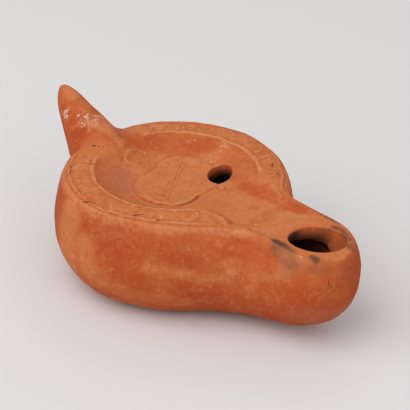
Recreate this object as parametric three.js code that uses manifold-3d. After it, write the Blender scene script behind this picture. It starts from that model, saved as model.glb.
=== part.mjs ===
// A mould-made terracotta oil lamp: one hollow piece of fired clay with a round body, a nozzle that points
// along +X, a spike handle at the back and a fish in low relief on its sunken disc.
// Millimetres, +Z up, with the origin at the centre of the flat base.
import * as THREE from 'three';
import { mergeVertices } from 'three/addons/utils/BufferGeometryUtils.js';
import Module from 'manifold-3d';

const wasm = await Module();
wasm.setup();

// Body
const bodyRadius = 41;
const bodyHeight = 38.7;
const seamHeight = 19;
const baseRadius = 23.1;
const bellyRoundness = 1.96;
const pearTaper = 1.15;
const wall = 4.2;
const baseThickness = 5.2;

// Shoulder band round the disc
const shoulderInset = 6.1;
const shoulderWidth = 8.3;
const rimRidgeHeight = 0.55;
const rimRidgeWidth = 1.5;
const outerRidgeHeight = 0.35;

// Sunken disc and the channel that runs from it along the nozzle
const discDepth = 5.7;
const discHollow = 3;
const channelHalfWidth = 11;
const channelFlare = 0.3;
const channelSlope = 5;
const channelStart = 7;
const channelFillet = 8;
const channelDepth = 1.6;

// Nozzle
const nozzleLength = 31.75;
const nozzleEndRadius = 16.5;
const nozzleRootRadius = 17;
const nozzleTopHeight = 34.8;
const nozzleTipDrop = 1.9;
const nozzleSeamHeight = 24;
const nozzleUnderHeight = 5.6;
const nozzleInset = 5.7;
const nozzleRoundness = 2.3;
const neckFillet = 16.2;

// Holes
const wickHoleHalfLength = 9.6;
const wickHoleHalfWidth = 7.6;
const wickHoleForward = 2.2;
const wickHoleAside = 0.9;
const wickHoleTurn = THREE.MathUtils.degToRad(48);
const fillHoleHalfWidth = 4.2;
const fillHoleHalfLength = 5.9;
const fillHoleRadius = 15.2;
const fillHoleAngle = THREE.MathUtils.degToRad(60);
const fillHoleTurn = THREE.MathUtils.degToRad(122);

// Handle, a solid spike that leans back
const handleHeight = 52.4;
const handleTipBack = 11.6;
const handleRootInset = 7;
const handleRootHeight = 30.6;
const handleRootDepth = 14;
const handleRootWidth = 9.9;
const handleTipDepth = 3.3;
const handleTipWidth = 3.7;
const handleFlare = 1.2;
const handleTipRound = 0.25;
const handleFootRound = 0.45;

// Groove that marks the base
const grooveRadius = 18;
const grooveWidth = 2;
const grooveDepth = 0.8;

// Fish on the disc
const fishLength = 42;
const fishHeight = 1;
const fishShift = new THREE.Vector2(-0.6, 0.6);
const gillRise = 0.45;
const gillWidth = 0.9;

// Stamps pressed round the shoulder, worn low
const stampHeight = 0.5;
const stampSize = 3.3;
const stampPitch = THREE.MathUtils.degToRad(16.3);
const firstStamp = THREE.MathUtils.degToRad(40);
const stampsPerSide = 7;

// Fineness of the faceted skin
const outerColumns = 72;
const innerColumns = 40;
const handleSides = 18;
const columnCrowding = 0.62;

// Places that follow from the sizes above
const rimRadius = bodyRadius - shoulderInset - shoulderWidth;
const nozzleEnd = bodyRadius + nozzleLength - nozzleEndRadius;
const neckStart = bodyRadius * 0.4;
const discFloor = bodyHeight - discDepth;
const wickHoleCentre = new THREE.Vector2(nozzleEnd + wickHoleForward, wickHoleAside);
const fillHoleCentre = new THREE.Vector2(Math.cos(fillHoleAngle), Math.sin(fillHoleAngle))
  .multiplyScalar(fillHoleRadius);
const stampRing = bodyRadius - shoulderInset - shoulderWidth / 2;

const { clamp, lerp, smoothstep } = THREE.MathUtils;

// Signed distance from the lamp's outline seen from above, negative inside
function outlineDistance(x, y) {
  const taper = pearTaper * smoothstep(x, bodyRadius * -0.1, bodyRadius * 0.3);
  const body = Math.hypot(x, y) - bodyRadius + taper;
  const nozzleRoot = bodyRadius / 4;
  const along = clamp((x - nozzleRoot) / (nozzleEnd - nozzleRoot), 0, 1);
  const centre = lerp(nozzleRoot, nozzleEnd, along);
  const nozzle = Math.hypot(x - centre, y) - lerp(nozzleRootRadius, nozzleEndRadius, along);
  const overlap = Math.max(neckFillet - Math.abs(body - nozzle), 0) / neckFillet;
  return Math.min(body, nozzle) - overlap * overlap * neckFillet / 4;
}

// Distance from the axis, along one direction, to the curve that lies a given depth inside the outline
function radiusAtDepth(angle, depth) {
  let near = 0;
  let far = bodyRadius + nozzleLength + 1;
  for (let step = 0; step < 40; step += 1) {
    const middle = (near + far) / 2;
    if (outlineDistance(middle * Math.cos(angle), middle * Math.sin(angle)) < -depth) {
      near = middle;
    } else {
      far = middle;
    }
  }
  return near;
}

// Height of the widest line, where the two halves of the mould met
function seamLine(x) {
  return lerp(seamHeight, nozzleSeamHeight, smoothstep(x, bodyRadius * 0.6, nozzleEnd));
}

// Height of the edge where the top turns into the side
function edgeLine(x) {
  const fall = nozzleTipDrop * smoothstep(x, nozzleEnd - nozzleEndRadius / 4, nozzleEnd + nozzleEndRadius);
  return lerp(bodyHeight, nozzleTopHeight, smoothstep(x, neckStart, nozzleEnd)) - fall;
}

// How far the top edge lies inside the outline
function edgeInset(x) {
  return lerp(shoulderInset, nozzleInset, smoothstep(x, bodyRadius * 0.8, nozzleEnd));
}

// Height of a rounded bowl between the seam line and its lowest level, at a depth inside its outline
function bowlHeight(x, depth, margin, lowest) {
  const neck = smoothstep(x, bodyRadius * 0.7, bodyRadius * 1.25);
  const reach = lerp(bodyRadius - baseRadius, nozzleEndRadius * 0.95, neck) - margin;
  const across = clamp(depth / reach, 0, 1);
  const power = lerp(bellyRoundness, nozzleRoundness, smoothstep(x, bodyRadius * 0.6, bodyRadius));
  const fall = (1 - (1 - across) ** power) ** (1 / power);
  const lift = nozzleUnderHeight * clamp((x - baseRadius) / (nozzleEnd * 1.1 - baseRadius), 0, 1) ** 2;
  return lerp(seamLine(x), lowest + lift, fall);
}

// Signed distance from the rim of the disc and of the channel that opens from it, negative inside them
function recessDistance(x, y) {
  const disc = Math.hypot(x, y) - rimRadius;
  const halfWidth = channelHalfWidth + channelFlare * Math.max(x - rimRadius * 0.83, 0);
  const channel = Math.max(Math.abs(y) - halfWidth, channelStart - x);
  const overlap = Math.max(channelFillet - Math.abs(disc - channel), 0) / channelFillet;
  return Math.min(disc, channel) - overlap * overlap * channelFillet / 4;
}

// Height of the floor of the disc, of the channel and of the nozzle's top
function floorLine(x) {
  const channel = lerp(discFloor, nozzleTopHeight - channelDepth / 3, smoothstep(x, channelStart, rimRadius));
  return lerp(channel, edgeLine(x), smoothstep(x, bodyRadius * 0.85, nozzleEnd - nozzleEndRadius / 4));
}

// Height of the top without its ridges and its carving
function plainTop(x, y) {
  const fromEdge = -outlineDistance(x, y) - edgeInset(x);
  const depth = Math.max(Math.min(-recessDistance(x, y), fromEdge), 0);
  const dish = (1 - Math.min(depth / rimRadius, 1)) ** discHollow;
  const slope = 1 - smoothstep(depth, 0, channelSlope);
  const wallShare = lerp(dish, slope, smoothstep(x, rimRadius * 0.5, rimRadius * 1.1));
  return lerp(floorLine(x), edgeLine(x), wallShare);
}

// Height of the top with the ridge round the disc and the ridge along the outer edge
function topHeight(x, y) {
  const fromRim = (recessDistance(x, y) - rimRidgeWidth / 2) / rimRidgeWidth;
  const fromEdge = (-outlineDistance(x, y) - edgeInset(x) - rimRidgeWidth / 2) / rimRidgeWidth;
  const along = 1 - smoothstep(x, rimRadius, bodyRadius * 1.1);
  const rimRidge = rimRidgeHeight * Math.max(1 - fromRim * fromRim, 0) * along;
  const outerRidge = outerRidgeHeight * Math.max(1 - fromEdge * fromEdge, 0) * along;
  return plainTop(x, y) + Math.max(rimRidge, outerRidge);
}

// Directions of the skin's columns, closer together round the nozzle
function columnAngles(count) {
  return Array.from({ length: count }, (_, k) => {
    const turn = 2 * Math.PI * k / count;
    return turn - columnCrowding * Math.sin(turn);
  });
}

// One ring of points from a radius for each direction and a height for each place
function ring(angles, radius, height) {
  return angles.map((angle) => {
    const reach = radius(angle);
    const x = reach * Math.cos(angle);
    const y = reach * Math.sin(angle);
    return new THREE.Vector3(x, y, height(x, y));
  });
}

// A closed solid over rings that run from its lowest point to its highest
function skin(rings, lowest, highest) {
  const columns = rings[0].length;
  const points = [lowest, ...rings.flat(), highest];
  const at = (level, k) => 1 + level * columns + k % columns;
  const faces = [];
  for (let k = 0; k < columns; k += 1) {
    faces.push(0, at(0, k + 1), at(0, k));
    for (let level = 0; level + 1 < rings.length; level += 1) {
      faces.push(at(level, k), at(level, k + 1), at(level + 1, k + 1));
      faces.push(at(level, k), at(level + 1, k + 1), at(level + 1, k));
    }
    faces.push(at(rings.length - 1, k), at(rings.length - 1, k + 1), points.length - 1);
  }
  const geometry = new THREE.BufferGeometry().setFromPoints(points);
  geometry.setIndex(faces);
  return solid(geometry);
}

// A closed geometry as a solid that can be joined and cut
function solid(geometry) {
  geometry.deleteAttribute('normal');
  geometry.deleteAttribute('uv');
  const merged = mergeVertices(geometry, 1e-5);
  return new wasm.Manifold(new wasm.Mesh({
    numProp: 3,
    vertProperties: new Float32Array(merged.attributes.position.array),
    triVerts: new Uint32Array(merged.index.array),
  }));
}

// Outer skin of the body and the nozzle
function outerSkin() {
  const angles = columnAngles(outerColumns);
  const lowDepth = nozzleEndRadius * 0.6;
  const depthOf = (x, y) => Math.max(-outlineDistance(x, y), 0);
  const under = (x, y) => bowlHeight(x, depthOf(x, y), 0, 0);
  const rings = [ring(angles, () => baseRadius, () => 0)];
  for (const share of [0.2, 0.45, 0.72]) {
    rings.push(ring(angles, (a) => lerp(baseRadius, radiusAtDepth(a, lowDepth), share), under));
  }
  for (const share of [1, 0.76, 0.54, 0.36, 0.2, 0.08, 0]) {
    rings.push(ring(angles, (a) => radiusAtDepth(a, lowDepth * share), under));
  }
  const edgeRadius = (a, share) => {
    let reach = radiusAtDepth(a, shoulderInset * share);
    for (let step = 0; step < 4; step += 1) {
      reach = radiusAtDepth(a, edgeInset(reach * Math.cos(a)) * share);
    }
    return reach;
  };
  for (const share of [0.05, 0.2, 0.45, 0.75, 1]) {
    const rise = Math.sqrt(1 - (1 - share) ** 2);
    rings.push(ring(angles, (a) => edgeRadius(a, share), (x) => lerp(seamLine(x), edgeLine(x), rise)));
  }
  const ridgeFoot = rimRadius + rimRidgeWidth * 1.5;
  for (const width of [0.5, 1.5]) {
    rings.push(ring(angles, (a) => edgeRadius(a, 1) - rimRidgeWidth * width, topHeight));
  }
  for (const share of [0.25, 0.5, 0.75]) {
    const reach = (a) => lerp(edgeRadius(a, 1) - rimRidgeWidth * 1.5, ridgeFoot, share);
    rings.push(ring(angles, reach, topHeight));
  }
  const discRings = [ridgeFoot, rimRadius + rimRidgeWidth / 2, rimRadius - rimRidgeWidth / 2];
  for (const share of [0.85, 0.72, 0.55, 0.3]) {
    discRings.push(rimRadius * share);
  }
  for (const reach of discRings) {
    rings.push(ring(angles, () => reach, topHeight));
  }
  return skin(rings, new THREE.Vector3(0, 0, 0), new THREE.Vector3(0, 0, topHeight(0, 0)));
}

// The hollow for the oil, one wall inside the outer skin all round
function oilChamber() {
  const angles = columnAngles(innerColumns);
  const lowDepth = nozzleEndRadius * 0.6;
  const inside = (x, y) => Math.max(-outlineDistance(x, y) - wall, 0);
  const under = (x, y) => bowlHeight(x, inside(x, y), wall, baseThickness);
  const roof = (x, y) => {
    const across = clamp(inside(x, y) / shoulderInset, 0, 1);
    const rise = Math.sqrt(1 - (1 - across) ** 2);
    return lerp(seamLine(x), plainTop(x, y) - wall, rise);
  };
  const rings = [];
  for (const share of [0.35, 0.75]) {
    rings.push(ring(angles, (a) => radiusAtDepth(a, lowDepth) * share, under));
  }
  for (const depth of [1, 0.7, 0.45, 0.25, 0.1, 0]) {
    rings.push(ring(angles, (a) => radiusAtDepth(a, lerp(wall, lowDepth, depth)), under));
  }
  for (const depth of [0.12, 0.3, 0.6, 1]) {
    rings.push(ring(angles, (a) => radiusAtDepth(a, lerp(wall, lowDepth, depth)), roof));
  }
  for (const share of [0.75, 0.5, 0.25]) {
    rings.push(ring(angles, (a) => radiusAtDepth(a, lowDepth) * share, roof));
  }
  return skin(rings, new THREE.Vector3(0, 0, baseThickness), new THREE.Vector3(0, 0, roof(0, 0)));
}

// Spike handle: oval sections from a wide root inside the shoulder to a rounded tip
function handle() {
  const root = new THREE.Vector3(handleRootInset - bodyRadius, 0, handleRootHeight);
  const tip = new THREE.Vector3(-bodyRadius - handleTipBack, 0, handleHeight);
  const lean = tip.clone().sub(root).normalize();
  const side = new THREE.Vector3(0, 1, 0);
  const fore = new THREE.Vector3().crossVectors(side, lean);
  const rings = [-0.42, -0.34, -0.23, -0.1, 0, 0.15, 0.3, 0.45, 0.6, 0.75, 0.85, 0.93, 0.98].map((share) => {
    const taper = (1 - Math.max(share, 0)) ** handleFlare;
    const past = Math.max((share - 1) / handleTipRound + 1, -share / handleFootRound, 0);
    const rounding = Math.sqrt(1 - past ** 2);
    const depth = lerp(handleTipDepth, handleRootDepth, taper) * rounding;
    const width = lerp(handleTipWidth, handleRootWidth, taper) * rounding;
    const centre = root.clone().lerp(tip, share);
    return Array.from({ length: handleSides }, (_, k) => {
      const turn = 2 * Math.PI * k / handleSides;
      return centre.clone()
        .addScaledVector(fore, depth * Math.cos(turn))
        .addScaledVector(side, width * Math.sin(turn));
    });
  });
  return skin(rings, root.clone().lerp(tip, -handleFootRound), tip);
}

// An upright oval plug for a hole, from one height to another
function ovalPlug(centre, halfLength, halfWidth, turn, bottom, top) {
  const plug = new THREE.CylinderGeometry(1, 1, top - bottom, 36);
  plug.rotateX(Math.PI / 2).scale(halfLength, halfWidth, 1).rotateZ(turn);
  plug.translate(centre.x, centre.y, (bottom + top) / 2);
  return solid(plug);
}

// Ring-shaped groove in the base
function baseGroove() {
  const half = grooveWidth / 2;
  const profile = [
    new THREE.Vector2(grooveRadius - half, -1),
    new THREE.Vector2(grooveRadius + half, -1),
    new THREE.Vector2(grooveRadius + half / 2, grooveDepth),
    new THREE.Vector2(grooveRadius - half / 2, grooveDepth),
    new THREE.Vector2(grooveRadius - half, -1),
  ];
  return solid(new THREE.LatheGeometry(profile, 40).rotateX(Math.PI / 2));
}

// A low carved form on the top: the outline shrinks towards its middle as it rises by the given steps
function raised(outline, middle, steps) {
  const sunk = -0.9;
  const rings = steps.map(([share, rise]) => outline.map((point) => {
    const x = lerp(middle.x, point.x, share);
    const y = lerp(middle.y, point.y, share);
    return new THREE.Vector3(x, y, plainTop(x, y) + rise);
  }));
  const low = new THREE.Vector3(middle.x, middle.y, plainTop(middle.x, middle.y) + sunk);
  const foot = rings[0].map((point) => point.clone().setZ(plainTop(point.x, point.y) + sunk));
  const peak = steps[steps.length - 1][1];
  const high = new THREE.Vector3(middle.x, middle.y, plainTop(middle.x, middle.y) + peak);
  return skin([foot, ...rings], low, high);
}

// Point of the fish, given as shares of its length along and across the disc
function onFish(along, across) {
  return new THREE.Vector2(along, across).multiplyScalar(fishLength).add(fishShift);
}

// Deep round body of the fish, its head towards the nozzle
function fishBody() {
  const turns = [
    [-0.27, 0.03], [-0.3, 0.16], [-0.255, 0.29], [-0.1, 0.385], [0.06, 0.36], [0.18, 0.28],
    [0.27, 0.17], [0.28, 0.06], [0.285, -0.06], [0.315, -0.2], [0.29, -0.33], [0.18, -0.39],
    [0.04, -0.41], [-0.1, -0.36], [-0.21, -0.26], [-0.265, -0.14], [-0.26, -0.05],
  ];
  const curve = new THREE.CatmullRomCurve3(
    turns.map(([along, across]) => new THREE.Vector3(...onFish(along, across), 0)), true, 'centripetal');
  const outline = curve.getPoints(44).slice(0, -1).reverse();
  const steps = [[1, 0], [0.94, 0.6], [0.8, 0.9], [0.5, 1]].map(([share, rise]) => [share, rise * fishHeight]);
  return raised(outline, onFish(0, 0), steps);
}

// Tail fan that opens towards the handle, with ribs for its rays
function fishTail() {
  const root = onFish(-0.28, -0.01);
  const open = THREE.MathUtils.degToRad(33);
  const axis = THREE.MathUtils.degToRad(169);
  const reach = fishLength * 0.27;
  const outline = Array.from({ length: 16 }, (_, k) => {
    const turn = lerp(-1, 1, k / 15);
    const length = reach * (1 - 0.16 * turn * turn);
    return root.clone().add(new THREE.Vector2(Math.cos(axis + open * turn), Math.sin(axis + open * turn))
      .multiplyScalar(length));
  });
  outline.push(root.clone().add(new THREE.Vector2(Math.cos(axis), Math.sin(axis)).multiplyScalar(-1)));
  const middle = root.clone().add(new THREE.Vector2(Math.cos(axis), Math.sin(axis)).multiplyScalar(reach * 0.6));
  const fan = raised(outline, middle, [[1, 0], [0.86, 0.5 * fishHeight], [0.5, 0.6 * fishHeight]]);
  const rays = [-0.66, -0.22, 0.22, 0.66].map((turn) => {
    const ray = new THREE.Vector2(Math.cos(axis + open * turn), Math.sin(axis + open * turn));
    return bar(root.clone().addScaledVector(ray, reach * 0.3), root.clone().addScaledVector(ray, reach * 0.92),
      gillWidth * 0.7, 0.9 * fishHeight);
  });
  return [fan, ...rays];
}

// A straight raised bar on the top, from one place to another
function bar(from, to, width, rise) {
  const along = to.clone().sub(from).normalize().multiplyScalar(width / 2);
  const across = new THREE.Vector2(-along.y, along.x);
  const outline = [
    from.clone().sub(along), from.clone().sub(across), to.clone().sub(across),
    to.clone().add(along), to.clone().add(across), from.clone().add(across),
  ];
  return raised(outline, from.clone().lerp(to, 0.5), [[1, 0], [0.97, rise * 0.9], [0.9, rise]]);
}

// A round raised boss with a dimple in its middle
function ringBoss(centre, radius, rise) {
  const outline = circle(centre, radius, 12);
  return raised(outline, centre, [[1, 0], [0.88, rise * 0.85], [0.7, rise], [0.45, rise * 0.6]]);
}

// Points evenly round a circle
function circle(centre, radius, count) {
  return Array.from({ length: count }, (_, k) => {
    const turn = 2 * Math.PI * k / count;
    return new THREE.Vector2(Math.cos(turn), Math.sin(turn)).multiplyScalar(radius).add(centre);
  });
}

// Double line of the gill and the round eye, standing a little proud of the body
function fishHead() {
  const rise = fishHeight + gillRise;
  const gills = [0, 0.032].map((step) => bar(onFish(-0.17 + step, 0.25), onFish(0.1 + step, -0.26), gillWidth, rise));
  return [...gills, ringBoss(onFish(-0.005, 0.1), fishLength * 0.045, rise)];
}

// Leaf-shaped stamp that points outwards
function leafStamp(centre, direction) {
  const outline = Array.from({ length: 12 }, (_, k) => {
    const turn = 2 * Math.PI * k / 12;
    const along = stampSize * Math.cos(turn);
    const across = stampSize * 0.75 * Math.sin(turn) * (1 - 0.45 * Math.cos(turn));
    return new THREE.Vector2(along, across).rotateAround(new THREE.Vector2(), direction).add(centre);
  });
  return raised(outline, centre, [[1, 0], [0.75, stampHeight * 0.85], [0.35, stampHeight]]);
}

// Stamps round both sides of the shoulder, leaves and round bosses in turn, one step apart on the two sides
function shoulderStamps() {
  const stamps = [];
  for (const side of [-1, 1]) {
    for (let k = 0; k < stampsPerSide; k += 1) {
      const angle = side * (firstStamp + stampPitch * k);
      const centre = new THREE.Vector2(Math.cos(angle), Math.sin(angle)).multiplyScalar(stampRing);
      const leaf = (k + (side > 0)) % 2;
      stamps.push(leaf ? leafStamp(centre, angle) : ringBoss(centre, stampSize * 0.8, stampHeight));
    }
  }
  return stamps;
}

// The whole lamp: skin, handle and carving joined, then hollowed and pierced
function lamp() {
  let clay = outerSkin().add(handle());
  for (const form of [fishBody(), ...fishTail(), ...fishHead(), ...shoulderStamps()]) {
    clay = clay.add(form);
  }
  const above = handleHeight;
  const wickHole = ovalPlug(wickHoleCentre, wickHoleHalfLength, wickHoleHalfWidth, wickHoleTurn,
    seamHeight, above);
  const fillHole = ovalPlug(fillHoleCentre, fillHoleHalfLength, fillHoleHalfWidth, fillHoleTurn,
    seamHeight, above);
  clay = clay.subtract(oilChamber()).subtract(wickHole).subtract(fillHole).subtract(baseGroove());
  const mesh = clay.getMesh();
  const geometry = new THREE.BufferGeometry();
  geometry.setAttribute('position', new THREE.BufferAttribute(new Float32Array(mesh.vertProperties), 3));
  geometry.setIndex(new THREE.BufferAttribute(new Uint32Array(mesh.triVerts), 1));
  geometry.computeVertexNormals();
  return geometry;
}

const terracotta = new THREE.MeshStandardMaterial({ color: 0xb4603a, roughness: 0.85, metalness: 0 });
const lampMesh = new THREE.Mesh(lamp(), terracotta);
lampMesh.name = 'lamp';

const model = new THREE.Group();
model.add(lampMesh);

export default model;
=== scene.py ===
"""A mould-made terracotta oil lamp with a fish on its disc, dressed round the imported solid."""
import math

import bpy
import numpy as np
from mathutils import Matrix, Vector
from mathutils.kdtree import KDTree


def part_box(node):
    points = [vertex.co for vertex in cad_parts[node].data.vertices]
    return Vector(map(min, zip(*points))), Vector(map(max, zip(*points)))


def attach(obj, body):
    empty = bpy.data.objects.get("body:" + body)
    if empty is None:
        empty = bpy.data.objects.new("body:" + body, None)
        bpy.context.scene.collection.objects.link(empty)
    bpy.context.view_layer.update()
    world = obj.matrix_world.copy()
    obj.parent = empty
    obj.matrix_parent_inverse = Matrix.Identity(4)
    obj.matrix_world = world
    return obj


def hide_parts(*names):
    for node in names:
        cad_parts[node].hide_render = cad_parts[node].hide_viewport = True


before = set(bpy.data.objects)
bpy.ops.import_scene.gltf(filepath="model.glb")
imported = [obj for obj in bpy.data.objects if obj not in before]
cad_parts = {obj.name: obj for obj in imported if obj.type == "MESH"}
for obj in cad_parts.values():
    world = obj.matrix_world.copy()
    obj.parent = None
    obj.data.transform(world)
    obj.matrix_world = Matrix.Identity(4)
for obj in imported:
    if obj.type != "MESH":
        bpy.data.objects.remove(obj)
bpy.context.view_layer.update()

# Lengths below are millimetres; the finished mesh is in metres
MM = 0.001
lamp_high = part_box("lamp")[1] / MM

# Body
BODY_RADIUS = 41.0
BODY_HEIGHT = 38.7
SEAM_HEIGHT = 19.0
BASE_RADIUS = 23.1
BELLY_ROUNDNESS = 1.96
PEAR_TAPER = 1.15
WALL = 4.2
BASE_THICKNESS = 5.2
GROOVE_RADIUS = 18.0
GROOVE_WIDTH = 2.0
GROOVE_DEPTH = 0.8

# Shoulder band round the disc
SHOULDER_INSET = 6.1
SHOULDER_WIDTH = 8.3
RIM_RADIUS = BODY_RADIUS - SHOULDER_INSET - SHOULDER_WIDTH
ARRIS_INSET = 4.3
ARRIS_DROP = 0.9
SIDE_ROUNDNESS = 1.85
RIM_RIDGE_HEIGHT = 0.4
OUTER_RIDGE_HEIGHT = 0.38
RIDGE_WIDTH = 1.1

# Sunken disc and the channel that runs from it along the nozzle
DISC_SHIFT = 0.6
DISC_DEPTH = 5.7
DISC_FLOOR = BODY_HEIGHT - DISC_DEPTH
DISC_HOLLOW = 3.0
CHANNEL_HALF_WIDTH = 11.0
CHANNEL_FLARE = 0.3
CHANNEL_SLOPE = 5.0
FAR_BANK = 5.0
FAR_SLOPE = 8.5
CHANNEL_START = 7.0
CHANNEL_FILLET = 8.0
CHANNEL_DEPTH = 1.6

# Nozzle
NOZZLE_END_RADIUS = 16.5
NOZZLE_ROOT_RADIUS = 17.0
NOZZLE_END = BODY_RADIUS + 31.75 - NOZZLE_END_RADIUS
NOZZLE_TOP_HEIGHT = 34.8
NOZZLE_TIP_DROP = 1.9
NOZZLE_SEAM_HEIGHT = 24.0
NOZZLE_UNDER_HEIGHT = 5.6
NOZZLE_INSET = 5.7
NOZZLE_FAR_INSET = 3.0
NOZZLE_ROUNDNESS = 2.3
NECK_FILLET = 16.2
FAR_NECK_FILLET = 6.0

# Holes
WICK_HOLE_HALF_LENGTH = 9.5
WICK_HOLE_HALF_WIDTH = 6.9
WICK_HOLE_LEAN = (-4.6, -2.6)
TIP_WALL = 6.0
WICK_HOLE_CENTRE = (NOZZLE_END + 2.2, 0.9)
WICK_HOLE_TURN = math.radians(48)
FILL_HOLE_HALF_WIDTH = 4.1
FILL_HOLE_HALF_LENGTH = 5.8
FILL_HOLE_CENTRE = (15.2 * math.cos(math.radians(60)), 15.2 * math.sin(math.radians(60)))
FILL_HOLE_TURN = math.radians(122)

# Handle
HANDLE_ROOT = np.array([7.0 - BODY_RADIUS, 0.0, 30.6])
HANDLE_TIP = np.array([-BODY_RADIUS - 11.6, 0.0, 52.4])
HANDLE_ROOT_DEPTH = 14.0
HANDLE_ROOT_WIDTH = 9.9
HANDLE_TIP_DEPTH = 2.7
HANDLE_TIP_WIDTH = 3.4
HANDLE_BEND = 0.8
HANDLE_FLARE = 1.2
HANDLE_TIP_ROUND = 0.25
HANDLE_FOOT_ROUND = 0.45
JOINT_REACH = 7.0
JOINT_ROUNDS = 130

# Fish and stamps
FISH_LENGTH = 42.0
FISH_SHIFT = np.array([-0.6, 0.6])
FISH_HEIGHT = 1.0
STAMP_HEIGHT = 0.25
STAMP_SIZE = 3.3
STAMP_PITCH = math.radians(16.3)
FIRST_STAMP = math.radians(40)
STAMPS_PER_SIDE = 7

# Fineness of the modelled skin
OUTER_COLUMNS = 430
INNER_COLUMNS = 150
HANDLE_COLUMNS = 64
HOLE_COLUMNS = 160
COLUMN_CROWDING = 0.4
BASE_RINGS = (6, 12, 16, 16.8, 17.3, 17.7, 18.3, 18.7, 19.2, 20, 21.5, 22.8)
UNDER_RINGS = 13
SIDE_RINGS = 22
EDGE_RINGS = 17
SHOULDER_RINGS = 41
DISC_RINGS = 80
FISH_POINTS = 120

# Depth inside the outline where the rings of the underside take the outline's shape
LOW_DEPTH = NOZZLE_END_RADIUS * 0.6

# Rounds of evening out that tell fine forms, which wear first, from broad ones
FINE_ROUNDS = 12
BROAD_ROUNDS = 160

# Start of every random pattern
SEED = 11

# View of the photograph: angles in degrees, the rest in millimetres
VIEW_AZIMUTH = 40.06
VIEW_ELEVATION = 29.1
VIEW_ROLL = 1.25
VIEW_TARGET = (12.65, 0, 15)
VIEW_RISE = 12.9
VIEW_ASIDE = 0.1
VIEW_DISTANCE = 620.5
SENSOR_WIDTH = 36
LENS = 162.9

# Room, in metres: each light has a place, a width and a power
FLOOR_HALF_WIDTH = 2.5
FLOOR_COLOUR = (0.75, 0.735, 0.73, 1)
ROOM_BRIGHTNESS = 0.52
LIGHT_AIM = (0.01, 0, 0.02)
LIGHTS = {
    "window": ((-0.3, -1.03, 1.28), 2.0, 17),
    "fill": ((1.0, -0.6, 0.9), 1.2, 4),
    "back": ((-0.5, 1.0, 0.9), 0.8, 1),
}


def smooth(x, start, end):
    """Smooth step from 0 at start to 1 at end."""
    t = np.clip((x - start) / (end - start), 0, 1)
    return t * t * (3 - 2 * t)


def mix(a, b, share):
    """From a to b by a share of the way."""
    return a + (b - a) * share


def joined(first, second, fillet):
    """Signed distance from two forms that run together over a fillet."""
    overlap = np.maximum(fillet - np.abs(first - second), 0) / fillet
    return np.minimum(first, second) - overlap * overlap * fillet / 4


def outline_distance(x, y):
    """Signed distance from the lamp's outline seen from above, negative inside."""
    taper = PEAR_TAPER * smooth(x, BODY_RADIUS * -0.1, BODY_RADIUS * 0.3)
    body = np.hypot(x, y) - BODY_RADIUS + taper
    root = BODY_RADIUS / 4
    along = np.clip((x - root) / (NOZZLE_END - root), 0, 1)
    centre = mix(root, NOZZLE_END, along)
    nozzle = np.hypot(x - centre, y) - mix(NOZZLE_ROOT_RADIUS, NOZZLE_END_RADIUS, along)
    return joined(body, nozzle, mix(NECK_FILLET, FAR_NECK_FILLET, smooth(y, 6, 16)))


def radius_at_depth(angle, depth):
    """Distance from the axis, along each direction, to the curve a given depth inside the outline."""
    near = np.zeros_like(angle)
    far = np.full_like(angle, lamp_high.x + 1)
    for _ in range(40):
        middle = (near + far) / 2
        inside = outline_distance(middle * np.cos(angle), middle * np.sin(angle)) < -depth
        near = np.where(inside, middle, near)
        far = np.where(inside, far, middle)
    return near


def seam_line(x):
    """Height of the widest line of the body and the nozzle, where the two mould halves meet."""
    return mix(SEAM_HEIGHT, NOZZLE_SEAM_HEIGHT, smooth(x, BODY_RADIUS * 0.6, NOZZLE_END))


def edge_line(x):
    """Height of the top along its edge."""
    fall = NOZZLE_TIP_DROP * smooth(x, NOZZLE_END - NOZZLE_END_RADIUS / 4, NOZZLE_END + NOZZLE_END_RADIUS)
    return mix(BODY_HEIGHT, NOZZLE_TOP_HEIGHT, smooth(x, BODY_RADIUS * 0.4, NOZZLE_END)) - fall


def nozzle_inset(x, y):
    """The nozzle's edge is rounder on its near side than on its far side and round its tip."""
    return mix(NOZZLE_INSET, NOZZLE_FAR_INSET, smooth(y + np.maximum(x - NOZZLE_END, 0) * 0.6, -2, 8))


def edge_inset(x, y):
    """How far inside the outline the rounding between side and top ends."""
    return mix(SHOULDER_INSET, nozzle_inset(x, y), smooth(x, BODY_RADIUS * 0.8, NOZZLE_END * 0.9))


def arris_inset(x, y):
    """How far inside the outline the arris of the shoulder lies."""
    return mix(ARRIS_INSET, nozzle_inset(x, y), smooth(x, BODY_RADIUS * 0.6, BODY_RADIUS * 1.1))


def arris_drop(x):
    """How far the arris between the shoulder and the side lies below the top."""
    return ARRIS_DROP * (1 - smooth(x, BODY_RADIUS * 0.5, BODY_RADIUS * 1.05))


def side_height(x, share):
    """Height of the side between the seam and the arris, at a share of the way in."""
    rise = (1 - (1 - share) ** SIDE_ROUNDNESS) ** (1 / SIDE_ROUNDNESS)
    return mix(seam_line(x), edge_line(x) - arris_drop(x), rise)


def bowl_height(x, depth, margin, lowest):
    """Height of a rounded bowl between the seam line and its lowest level."""
    neck = smooth(x, BODY_RADIUS * 0.7, BODY_RADIUS * 1.25)
    reach = mix(BODY_RADIUS - BASE_RADIUS, NOZZLE_END_RADIUS * 0.95, neck) - margin
    across = np.clip(depth / reach, 0, 1)
    power = mix(BELLY_ROUNDNESS, NOZZLE_ROUNDNESS, smooth(x, BODY_RADIUS * 0.6, BODY_RADIUS))
    fall = (1 - (1 - across) ** power) ** (1 / power)
    lift = NOZZLE_UNDER_HEIGHT * np.clip((x - BASE_RADIUS) / (NOZZLE_END * 1.1 - BASE_RADIUS), 0, 1) ** 2
    return mix(seam_line(x), lowest + lift, fall)


def disc_distance(x, y):
    """Signed distance from the rim of the disc alone, negative inside."""
    return np.hypot(x, y + DISC_SHIFT) - RIM_RADIUS - DISC_SHIFT


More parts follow.
